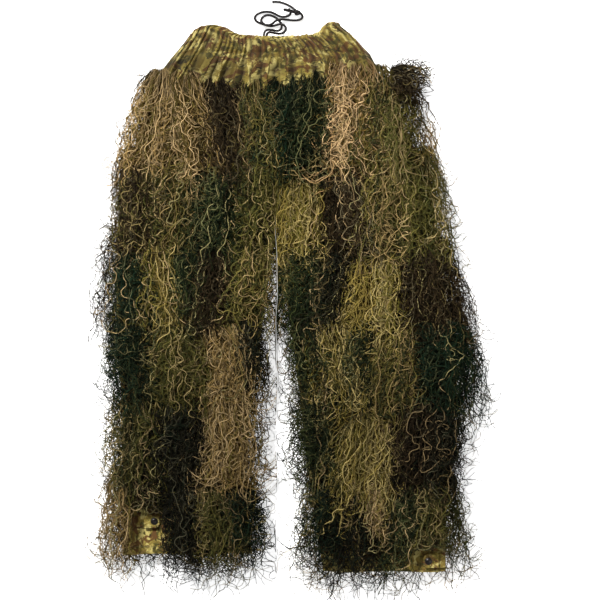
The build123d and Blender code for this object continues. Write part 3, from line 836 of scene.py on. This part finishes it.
def make_waistband():
    """The gathered waist: outer cloth from the first row of tufts up, over the top and down
    inside the channel."""
    rng = np.random.default_rng([SEED, 70])
    across, rows = 310, 64
    outer = np.linspace(0, 1, rows)
    s = np.linspace(0, 1, across)[None, :]
    top_x = np.array([p[0] for p in WAIST_TOP_EDGE], float)
    top_y = np.array([p[1] for p in WAIST_TOP_EDGE], float)
    levels, lefts, rights = (np.array(v, float) for v in zip(*WAIST_SIDES))
    edge_y = np.interp(lefts[-1] + (rights[-1] - lefts[-1]) * s, top_x, top_y)
    sheets, creases = [], []
    for face in (1, -1):
        v = outer[:, None] + 0 * s
        height, lean, painted_crease_shade = pleats(rng, s + 0 * v, v)
        low = levels[0]
        y = low + (edge_y - 5.0 - low) * v
        guide = low + (levels[-1] - low) * v
        left, right = np.interp(guide, levels, lefts), np.interp(guide, levels, rights)
        rounding = (1 - np.abs(2 * s - 1) ** 14) ** 0.5
        swell = np.interp(y, (400, 445, CHANNEL_SEAM - 9, CHANNEL_SEAM - 3, CHANNEL_SEAM,
                              CHANNEL_SEAM + 6, 506, 536),
                          (8.6, 11.5, 17.5, 18.0, 17.2, 19.6, 19.6, 17.0))
        swell = swell + 4.5 * np.exp(-((s - 0.10) / 0.09) ** 2) * smoothstep(0.5, 0.9, v)
        swell = swell + 4.5 * np.exp(-((s - 0.93) / 0.07) ** 2) * smoothstep(0.5, 0.9, v)
        x = left + (right - left) * s + lean * rounding
        z = rounding * (swell - 2.0 + height)
        z = z if face > 0 else within(z, -90.0, 25.2, 5.0)
        sections = [(x, y, z)]
        last = (x[-1], y[-1], z[-1])
        inside_x = (WAIST_INSIDE[0] + (WAIST_INSIDE[1] - WAIST_INSIDE[0]) * s[0])
        inside_z = rounding[0] * (7.6 + 0.35 * (height[-1] - 3))
        for turn in np.linspace(0.12, 1.0, 9):
            mix = (1 - cos(pi * turn)) / 2
            rise = 5.5 * sin(pi * turn) + (0.35 * height[-1] - 0.6) * sin(pi * turn)
            sections.append(tuple(part[None] for part in (
                last[0] + (inside_x - last[0]) * mix, last[1] + rise,
                last[2] + (inside_z - last[2]) * mix)))
        for drop in (6.0, 12.0, 18.0, 24.0, 30.0):
            sections.append(tuple(part[None] for part in (
                inside_x, last[1] - drop, inside_z * (1 - drop / 300))))
        grid = [np.concatenate(part) for part in zip(*sections)]
        grid[2] = MIDDLE + face * grid[2]
        sheets.append(np.stack(grid, axis=2))
        # painted shade for the valleys, none on the part turned over the top
        creases.append(np.concatenate([painted_crease_shade, np.zeros((len(grid[0]) - rows, across))]))
    front, back = sheets
    ring = np.concatenate([front[:, :-1], back[:, :0:-1]], axis=1)
    creases = np.concatenate([creases[0][:, :-1], creases[1][:, :0:-1]], axis=1)
    total_rows, columns = ring.shape[:2]
    around = np.linspace(0, 0.60, columns)[None, :] + np.zeros((total_rows, 1))
    down = np.cumsum(np.concatenate([[0], np.linalg.norm(
        np.diff(ring[:, across // 2], axis=0), axis=1)])) * MM
    flat = np.stack([around, np.broadcast_to(down[:, None], around.shape) + 0.4], axis=2)
    faces = [f[::-1] for f in grid_faces(total_rows, columns, True)]
    obj = mesh_object("waistband", ring.reshape(-1, 3) * MM, faces, ["camouflage_cloth"],
                      flat.reshape(-1, 2))
    # the valleys, kept for the painted shade in the cloth's colour
    shade = obj.data.attributes.new("painted_crease_shade", "FLOAT", "POINT")
    shade.data.foreach_set("value", creases.ravel())
    solidify(obj, 1.0, -1.0)
    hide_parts("waist_casing_front", "waist_casing_back")
    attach(obj, "seat")
    return obj


# ------------------------------------------------------------------ drawstring
CORD_DIAMETER = 4.5
LEFT_END_ROUTE = [
    (-52.5, 514.0, 39.0), (-52.3, 520.5, 38.8), (-47.5, 524.3, 36), (-38, 523, 31),
    (-28.5, 522, 25), (-20.5, 524.5, 18.5), (-15.8, 530.5, 12.5), (-15.6, 537.5, 9.6),
    (-21.5, 542.7, 8.6), (-30.5, 542.9, 5.4), (-40, 539.9, 2.6), (-50.5, 540.2, 2.35),
    (-61, 544.2, 2.35), (-70, 547.4, 2.35), (-76, 553, 2.35), (-74.5, 560.2, 2.35),
    (-67, 565.2, 2.35), (-56, 567.8, 2.35), (-45, 567.3, 2.35), (-36, 563.2, 2.35),
    (-28, 558.6, 2.35), (-18.5, 557.4, 2.35), (-10.5, 559.8, 2.35), (-7.2, 562.9, 2.35),
    (-6.6, 566.6, 2.35), (-8.4, 569.8, 2.35),
]
RIGHT_END_ROUTE = [
    (-57.5, 514.0, 39.0), (-57.5, 522, 39.0), (-53, 528.6, 36), (-42.5, 529.2, 29),
    (-32, 527.8, 21), (-25, 532, 12.5), (-23.4, 539, 3.2), (-25, 546, 2.35),
    (-30.5, 553, 2.35), (-38.5, 558.5, 2.35), (-48, 561.7, 2.35), (-57, 560, 2.35),
    (-63, 554.5, 2.9), (-63.5, 547.7, 7.0), (-56.5, 542, 7.8), (-47.5, 540.9, 7.5),
    (-40.5, 545, 5.4), (-35, 550.2, 6.9), (-26.5, 552.6, 7.3), (-16.5, 552.3, 4.1),
    (-6.5, 551.3, 2.35), (3.5, 551, 2.35), (12.5, 552.2, 2.35), (17.2, 557.6, 3.2),
    (13.8, 563.6, 5.6), (7, 566.8, 6.2), (0.8, 572, 4.6), (-8, 578.9, 2.5), (-18.5, 583.6, 2.35),
    (-29.5, 586.8, 2.35), (-37.5, 586.6, 2.6),
]
KNOT = (6.5, 565.2, 6.3)
KNOT_LOOP_END = (-17.0, 570.4, 9.8)
TIP_LENGTH = 5.0


def centreline(route):
    """Points along the smooth curve of a route, in metres."""
    curve = bpy.data.curves.new("route", "CURVE")
    curve.dimensions = "3D"
    curve.resolution_u = 16
    spline = curve.splines.new("NURBS")
    spline.points.add(len(route) - 1)
    for point, place in zip(spline.points, route):
        point.co = (*[c * MM for c in place], 1.0)
    spline.order_u = 3
    spline.use_endpoint_u = True
    obj = bpy.data.objects.new("route", curve)
    bpy.context.scene.collection.objects.link(obj)
    bpy.context.view_layer.update()
    mesh = bpy.data.meshes.new_from_object(obj)
    points = np.array([v.co[:] for v in mesh.vertices])
    bpy.data.objects.remove(obj)
    bpy.data.meshes.remove(mesh)
    return points


def resampled(points, step):
    """Evenly spaced points along a line."""
    runs = np.linalg.norm(np.diff(points, axis=0), axis=1)
    total = np.concatenate([[0.0], np.cumsum(runs)])
    at = np.linspace(0, total[-1], max(2, int(round(total[-1] / step)) + 1))
    return np.stack([np.interp(at, total, points[:, k]) for k in range(3)], axis=1)


def carried_frames(path):
    """Side and up directions carried along a path without twist."""
    tangent = np.gradient(path, axis=0)
    tangent /= np.linalg.norm(tangent, axis=1, keepdims=True)
    side = np.cross(tangent[0], (0.1, 0.2, 1.0))
    sides = []
    for t in tangent:
        side = side - t * (side @ t)
        side = side / np.linalg.norm(side)
        sides.append(side)
    sides = np.array(sides)
    return sides, np.cross(tangent, sides)


def braid(path, radius, segments=20, plaits=5, pitch=0.0085):
    """A braided cord round a path in metres: crossing ridges that wind both ways."""
    side, up = carried_frames(path)
    run = np.concatenate([[0.0], np.cumsum(np.linalg.norm(np.diff(path, axis=0), axis=1))])
    angle = (tau * np.arange(segments) / segments)[None, :]
    turn = tau * run[:, None] / pitch
    ridge = np.maximum(np.abs(np.sin((plaits * angle + turn) / 2)),
                       np.abs(np.sin((plaits * angle - turn) / 2)))
    r = radius * (0.95 + 0.09 * ridge ** 2)
    ends = np.minimum(run, run[-1] - run)[:, None]
    r = r * np.sqrt(np.clip(ends / (0.35 * radius), 0.0, 1.0) * 0.5 + 0.5)
    vertices = (path[:, None] + side[:, None] * (r * np.cos(angle))[..., None]
                + up[:, None] * (r * np.sin(angle))[..., None]).reshape(-1, 3)
    faces = [f[::-1] for f in grid_faces(len(path), segments, True)]
    faces.append(tuple(range(segments)))
    faces.append(tuple((len(path) - 1) * segments + i for i in range(segments))[::-1])
    return vertices, faces


def make_knot():
    """The slipped knot in the right end: a winding of cord, and the small loop drawn through it."""
    turn = np.linspace(0, tau, 140, endpoint=False)
    reach = 2.75 + 1.15 * np.cos(3 * turn)
    winding = np.stack([KNOT[0] + 1.2 * reach * np.cos(2 * turn), KNOT[1] + reach * np.sin(2 * turn),
                        KNOT[2] + 1.8 * np.sin(3 * turn)], axis=1)
    centre, end = np.array(KNOT), np.array(KNOT_LOOP_END)
    along = (end - centre) / np.linalg.norm(end - centre)
    across = np.cross(along, (0.0, 0.0, 1.0))
    half = np.linalg.norm(end - centre) / 2 + 1.2
    drawn = ((centre + along * half)[None] - along * (half * np.cos(turn))[:, None]
             + across * (1.45 * np.tanh(3.2 * np.sin(turn)))[:, None])
    parts = []
    for path, radius in ((winding, 2.0), (drawn, 1.62)):
        side, up = frames_along(np.concatenate([path, path[:1]])[None])
        segments = 14
        angle = (tau * np.arange(segments) / segments)[None, :, None]
        vertices = (path[:, None] + radius * (side[0, :-1, None] * np.cos(angle)
                                              + up[0, :-1, None] * np.sin(angle))).reshape(-1, 3)
        rings = len(path)
        faces = []
        for i in range(rings):
            for j in range(segments):
                a, b = i * segments, ((i + 1) % rings) * segments
                k = (j + 1) % segments
                faces.append((a + j, a + k, b + k, b + j))
        parts.append((vertices, faces))
    vertices, faces = merged(parts)
    knot = mesh_object("drawstring_wound_knot", vertices * MM, faces, ["cord"])
    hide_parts("drawstring_knot")
    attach(knot, "seat")
    return knot


def make_tip(name, path):
    """A melted cord tip: a bead that grows out of the end of its cord."""
    direction = path[-1] - path[-4]
    direction /= np.linalg.norm(direction)
    profile = ((0.0, 2.15), (0.6, 2.28), (1.6, 2.5), (3.0, 2.5), (4.1, 2.2), (4.7, 1.5),
               (TIP_LENGTH, 0.6))
    line = np.array([path[-1] + direction * a * MM for a, _ in profile])
    radii = np.array([r for _, r in profile])
    lump = 1 + 0.05 * np.sin(3 * tau * np.arange(18) / 18)
    side, up = carried_frames(line)
    angle = (tau * np.arange(18) / 18)[None, :]
    reach = (radii[:, None] * lump[None]) * MM
    vertices = (line[:, None] + side[:, None] * (reach * np.cos(angle))[..., None]
                + up[:, None] * (reach * np.sin(angle))[..., None]).reshape(-1, 3)
    faces = [f[::-1] for f in grid_faces(len(line), 18, True)]
    faces.append(tuple(range(18)))
    faces.append(tuple((len(line) - 1) * 18 + i for i in range(18))[::-1])
    tip = mesh_object(name, vertices, faces, ["cord"])
    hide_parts("drawstring_tips")
    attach(tip, "seat")
    return tip


def make_drawstring():
    """Both free ends, with their tips and the knot in the right one."""
    knot = make_knot()
    for side, route in (("left", LEFT_END_ROUTE), ("right", RIGHT_END_ROUTE)):
        path = resampled(centreline(route), 0.0006)
        vertices, faces = braid(path, CORD_DIAMETER / 2 * MM)
        end = mesh_object(f"drawstring_{side}_cord", vertices, faces, ["cord"])
        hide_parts(f"drawstring_{side}_end")
        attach(end, "seat")
        tip = make_tip(f"drawstring_{side}_tip", path)


# ------------------------------------------------------------------ ankle tabs and snaps
SNAPS = {"right": ((-266.0, -408.0), -1), "left": ((256.0, -484.0), 1)}
TAB_LENGTH, TAB_WIDTH, TAB_THICK, TAB_REACH, TAB_UNDERSIDE = 29.5, 26.0, 2.0, 20.0, 40.0


def strap(name, x_from, x_to, centre_y, width, z_low, thick, round_end, body):
    """A stitched cloth strap between two X values, rounded at x_to, with puffed edges."""
    along, across = 46, 36
    direction = 1.0 if x_to > x_from else -1.0
    length = abs(x_to - x_from)
    u = np.linspace(0, 1, along)[:, None]
    w = np.linspace(-1, 1, across)[None, :]
    reach = u * length
    corner = max(round_end, 0.1)
    past = np.clip((reach - (length - corner)) / corner, 0, 1)
    half = width / 2 - corner * (1 - np.sqrt(1 - past ** 2)) * (round_end > 0)
    x = x_from + direction * reach + 0 * w
    y = centre_y + half * w
    border = np.minimum(np.minimum((1 - np.abs(w)) * half, length - reach + 0.3), reach + 3.0)
    puff = np.sqrt(np.clip(border / 1.3, 0, 1))
    seam = np.exp(-((border - 2.6) / 0.55) ** 2)
    middle = z_low + thick / 2
    rise = thick / 2 * (0.25 + 0.75 * puff) - 0.35 * seam + 0.12 * np.sin(x / 3.1) * np.sin(y / 2.7)
    top = np.stack([x, y, middle + rise], axis=2)
    bottom = np.stack([x, y, middle - np.minimum(rise, thick / 2 - 0.05)], axis=2)
    vertices = np.concatenate([top.reshape(-1, 3), bottom.reshape(-1, 3)])
    size = along * across
    faces = grid_faces(along, across, False)
    low_faces = [tuple(size + i for i in f[::-1]) for f in faces]
    rim = ([(i * across, (i + 1) * across) for i in range(along - 1)]
           + [((along - 1) * across + j, (along - 1) * across + j + 1) for j in range(across - 1)]
           + [((i + 1) * across + across - 1, i * across + across - 1)
              for i in range(along - 2, -1, -1)]
           + [(j + 1, j) for j in range(across - 2, -1, -1)])
    walls = [(a, b, size + b, size + a) for a, b in rim]
    if direction < 0:
        faces, low_faces, walls = ([f[::-1] for f in group] for group in (faces, low_faces, walls))
    inner = 2.6
    turns = np.linspace(-pi / 2, pi / 2, 9)
    r = corner - inner
    nose = x_to - direction * corner
    line = [(x_from + direction * 3.0, centre_y - width / 2 + inner)]
    if round_end:
        line += [(nose + direction * r * cos(a), centre_y + r * sin(a)
                  + np.sign(sin(a)) * (width / 2 - corner) * (abs(sin(a)) > 0.2)) for a in turns]
    else:
        line += [(x_to - direction * inner, centre_y - width / 2 + inner),
                 (x_to - direction * inner, centre_y + width / 2 - inner)]
    line.append((x_from + direction * 3.0, centre_y + width / 2 - inner))
    line = [(a, b, middle + thick / 2 - 0.25) for a, b in line]
    sewn, sewn_faces = stitch_row(line, 0.42, 2.6, 1.9, 0.22)
    cloth_faces = faces + low_faces + walls
    all_vertices, all_faces = merged([(vertices, cloth_faces), (sewn, sewn_faces)])
    kinds = [0] * len(cloth_faces) + [1] * len(sewn_faces)
    obj = mesh_object(name, all_vertices * MM, all_faces, ["camouflage_cloth", "thread"],
                      all_vertices[:, :2] * MM, kinds)
    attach(obj, body)
    return obj


def make_tabs():
    """Each ankle tab with its sewn end, and the four parts of its snap."""
    for side, ((x, y), outward) in SNAPS.items():
        fold = x + outward * TAB_REACH
        tab = strap(f"{side}_tab_strap", fold - outward * 0.5, fold - outward * (TAB_LENGTH + 0.5),
                    y, TAB_WIDTH, TAB_UNDERSIDE, TAB_THICK, 9.0, f"{side}_tab")
        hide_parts(f"{side}_ankle_tab")
        sewn = strap(f"{side}_tab_root", fold + outward * 12.0, fold + outward * 0.5, y, TAB_WIDTH,
                     36.0, 1.8, 0.0, f"{side}_shin")
        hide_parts(f"{side}_tab_sewn_end")
        at = (x, y)
        cap = lathe(f"{side}_snap_dome", (
            (0, 44.5), (1.6, 44.45), (3.4, 44.1), (4.7, 43.5), (5.3, 43.15), (5.6, 43.1),
            (6.1, 43.35), (6.7, 43.2), (7.0, 42.7), (6.8, 42.15), (0, 42.05)), at, f"{side}_tab",
            "snap_metal")
        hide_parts(f"{side}_snap_cap")
        socket_box, stud_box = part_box(f"{side}_snap_socket"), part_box(f"{side}_snap_stud")
        low, high = socket_box[0].z / MM, socket_box[1].z / MM
        socket = lathe(f"{side}_snap_ring", (
            (0, high), (5.4, high), (5.9, high - 0.4), (6.0, high - 1.0), (5.6, high - 1.7),
            (4.9, low + 0.5), (4.2, low), (3.4, low), (2.7, low + 0.5), (2.4, low + 1.2),
            (2.45, high - 0.5), (0, high - 0.45)), at, f"{side}_tab", "snap_metal")
        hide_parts(f"{side}_snap_socket")
        low, high = stud_box[0].z / MM, stud_box[1].z / MM
        stud = lathe(f"{side}_snap_post", (
            (0, high), (1.2, high - 0.05), (1.9, high - 0.4), (2.15, high - 0.95),
            (1.85, high - 1.5), (1.8, low + 1.15), (2.6, low + 1.0), (4.9, low + 0.85),
            (5.4, low + 0.5), (5.3, low), (0, low)), at, f"{side}_shin", "snap_metal")
        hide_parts(f"{side}_snap_stud")
        back_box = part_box(f"{side}_snap_backing")
        low, high = back_box[0].z / MM, back_box[1].z / MM
        backing = lathe(f"{side}_snap_plate", (
            (0, high), (4.6, high), (5.0, high - 0.3), (4.9, low + 0.2), (4.4, low), (2.2, low + 0.1),
            (1.6, low + 0.45), (0, low + 0.45)), at, f"{side}_shin", "snap_metal")
        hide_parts(f"{side}_snap_backing")


# ------------------------------------------------------------------ bar tacks, elastic, buttonhole
TACK_WIDTH, TACK_STITCHES = 4.6, 26


def make_tacks():
    """A dense zigzag of thread over the root of each tuft, following each node's own tacks."""
    for node, body in (("seat_bar_tacks", "seat"), ("left_thigh_bar_tacks", "left_thigh"),
                       ("right_thigh_bar_tacks", "right_thigh"),
                       ("left_shin_bar_tacks", "left_shin"),
                       ("right_shin_bar_tacks", "right_shin")):
        points = np.array([v.co[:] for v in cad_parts[node].data.vertices]) / MM
        keys = np.unique(np.round(points / (200.0, 1.0, 12.0)).astype(int), axis=0)
        centres = tack_centres(points)
        paths = []
        for x0, x1, y, z, up in centres:
            turns = np.arange(2 * TACK_STITCHES + 1)
            share = turns / turns[-1]
            x = x0 + (x1 - x0) * share
            swing = np.where(turns % 2 == 0, -1, 1) * TACK_WIDTH / 2
            lift = 0.45 + 0.3 * (turns % 2)
            paths.append(np.stack([x, y + swing, z + up * lift], axis=1))
        if not paths:
            print("no tacks read for", node, len(keys))
            continue
        path = np.array(paths)
        vertices, faces = tubes(path, np.full(path.shape[:2], 0.42), 6)
        obj = mesh_object(f"{node[:-10]}_tack_stitches", vertices * MM, faces, ["thread"])
        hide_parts(node)
        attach(obj, body)


def tack_centres(points):
    """The ends, place and side of each bar tack among the corners of a node's small blocks."""
    found = []
    for up, z0 in ((1, 36.0), (-1, 16.0)):
        face = points[(points[:, 2] > 30) if up > 0 else (points[:, 2] < 30)]
        for y in np.unique(np.round(face[:, 1] / 10.0)):
            row = face[np.abs(face[:, 1] / 10.0 - y) < 0.75]
            if not len(row):
                continue
            xs = np.sort(np.unique(np.round(row[:, 0], 1)))
            middle = (row[:, 1].min() + row[:, 1].max()) / 2
            groups = np.split(xs, np.where(np.diff(xs) > 42)[0] + 1)
            flat = np.concatenate(groups)
            for a, b in zip(flat[:-1], flat[1:]):
                if 36 < b - a < 44 and not any(abs(f[0] - a) < 5 and abs(f[2] - middle) < 8
                                               and f[4] == up for f in found):
                    found.append((a, b, middle, z0, up))
    return found


def carry_over():
    """Real finishes for the CAD nodes that stay: what lies hidden in the waist channel."""
    for node, finish in (("waist_elastic", "elastic"), ("drawstring_in_channel", "cord"),
                         ("drawstring_buttonhole", "thread")):
        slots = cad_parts[node].data.materials
        slots.clear()
        slots.append(MATERIALS[finish])


def make_floor():
    mesh = bpy.data.meshes.new("floor")
    half = FLOOR_SIZE / 2
    mesh.from_pydata([(-half, -half, 0), (half, -half, 0), (half, half, 0), (-half, half, 0)], [],
                     [(0, 1, 2, 3)])
    mesh.materials.append(floor_material())
    floor = bpy.data.objects.new("floor", mesh)
    bpy.context.scene.collection.objects.link(floor)
    make_backdrop()


def make_backdrop():
    """A white room round the floor, which is seen but sheds no light of its own."""
    mesh = bpy.data.meshes.new("backdrop")
    shell = bmesh.new()
    bmesh.ops.create_uvsphere(shell, u_segments=48, v_segments=24, radius=FLOOR_SIZE)
    shell.to_mesh(mesh)
    shell.free()
    white = bpy.data.materials.new("backdrop")
    white.use_nodes = True
    shader = white.node_tree.nodes["Principled BSDF"]
    shader.inputs["Base Color"].default_value = (0.0, 0.0, 0.0, 1.0)
    shader.inputs["Emission Color"].default_value = (1.0, 1.0, 1.0, 1.0)
    shader.inputs["Emission Strength"].default_value = 0.93
    mesh.materials.append(white)
    backdrop = bpy.data.objects.new("backdrop", mesh)
    for ray in ("diffuse", "glossy", "transmission", "shadow"):
        setattr(backdrop, f"visible_{ray}", False)
    bpy.context.scene.collection.objects.link(backdrop)


make_camera()
make_drawstring()
make_light()
make_floor()
make_yarn()
make_cloth()
make_waistband()
make_tabs()
make_tacks()
carry_over()
